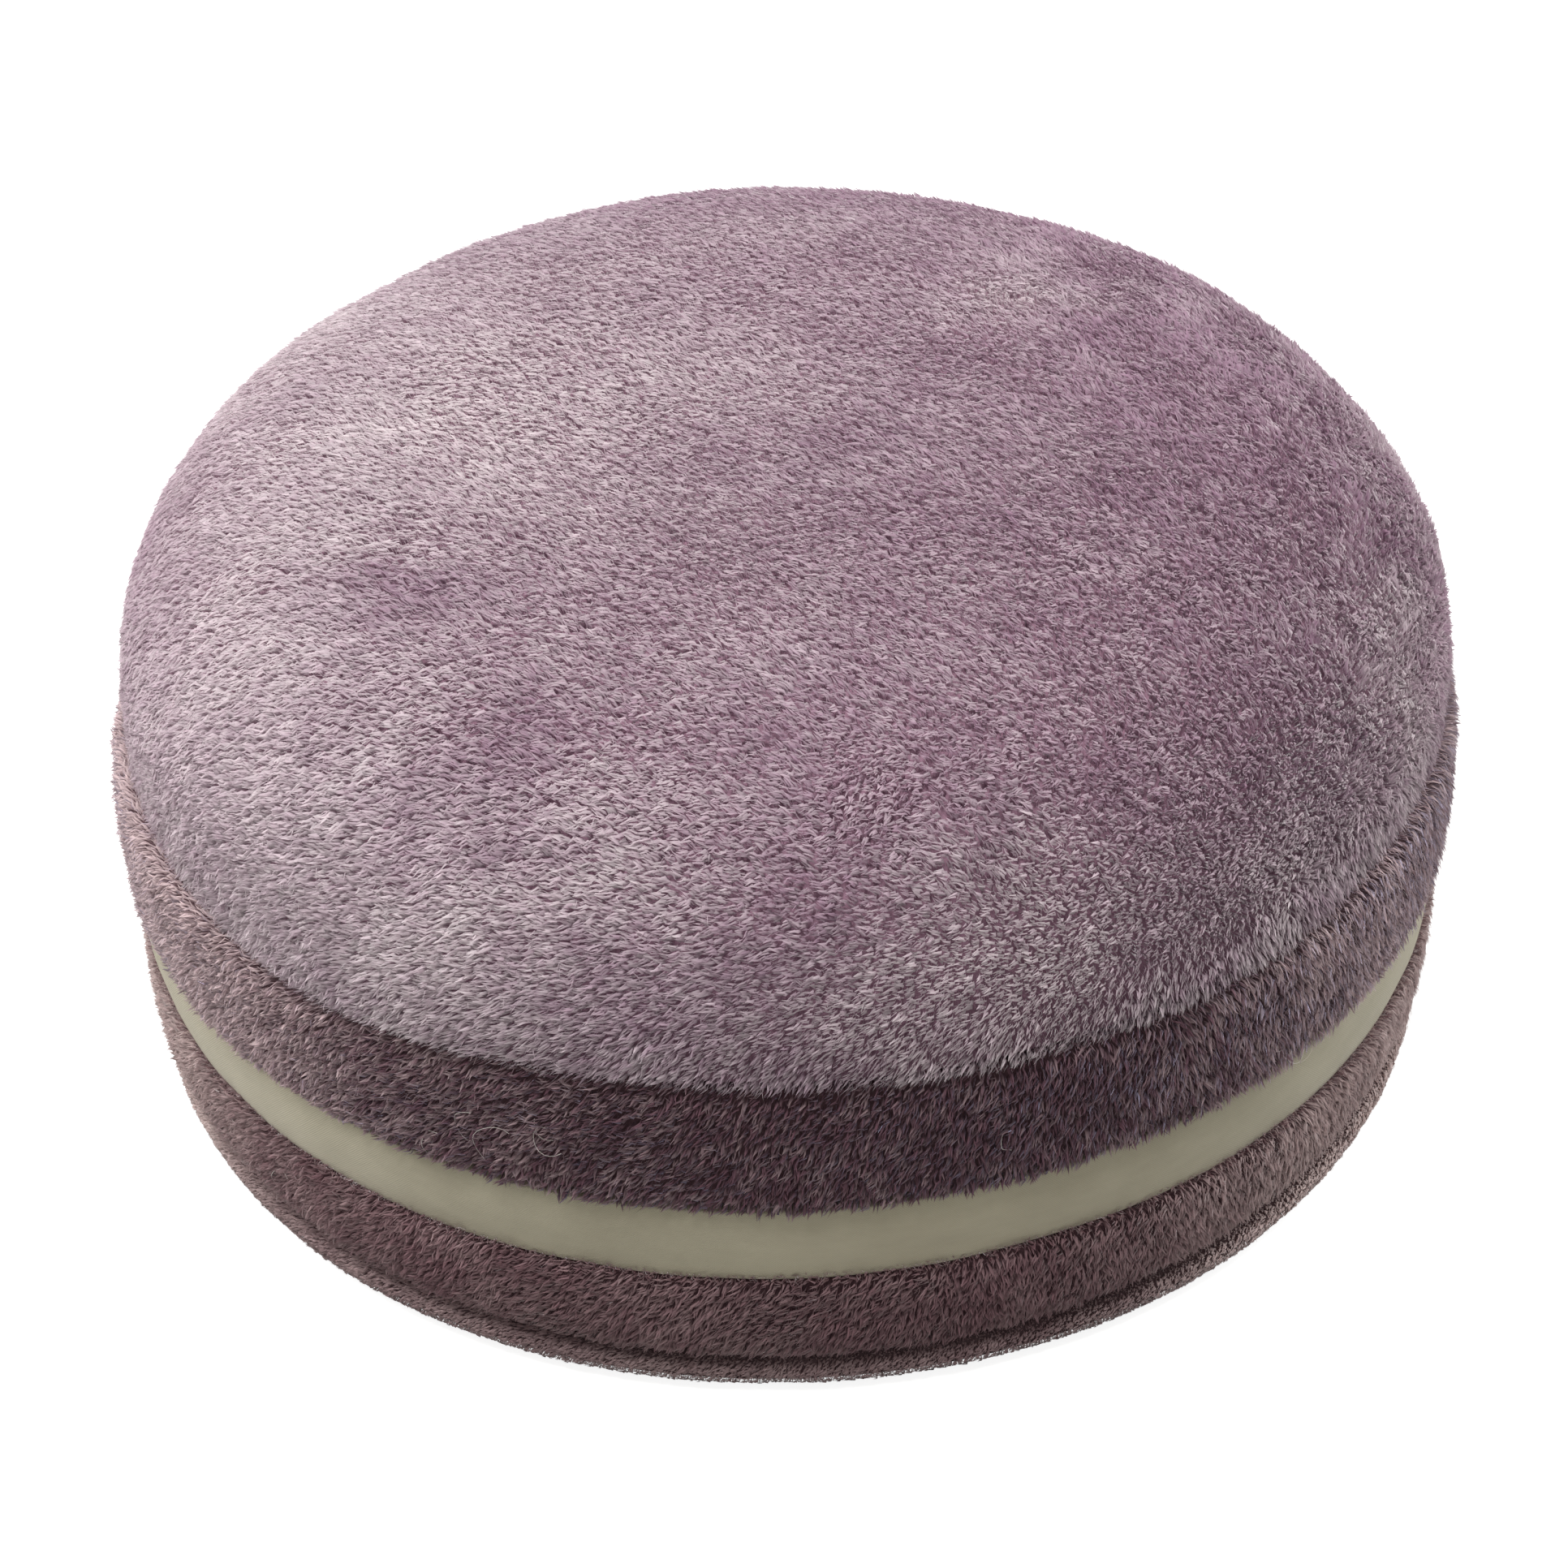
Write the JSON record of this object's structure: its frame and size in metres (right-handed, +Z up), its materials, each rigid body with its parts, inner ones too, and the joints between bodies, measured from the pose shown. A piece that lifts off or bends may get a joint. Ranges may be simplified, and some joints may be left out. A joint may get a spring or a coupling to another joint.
{
  "type": "round throw pillow",
  "caption": "Plump round throw pillow in short mauve plush, with a smooth cream cloth band round its side wall and a crowned, drawn-in top.",
  "frame": {"origin": "centre of the flat underside the pillow rests on", "axes": "+Z up through the crown, -Y towards the front, the side the picture looks at"},
  "size_m": [0.3955, 0.4046, 0.1877],
  "materials": {
    "mauve_plush": "matte short pile, brushed light and dark",
    "mauve_plush_side": "matte short pile",
    "cream_cloth": "matte smooth cloth with a very short nap"
  },
  "bodies": {
    "root": {"filled_cushion": "mauve_plush", "upper_plush_strip": "mauve_plush_side", "cream_band": "cream_cloth", "lower_plush_strip": "mauve_plush_side", "bottom_panel": "mauve_plush_side"}
  },
  "joints": []
}
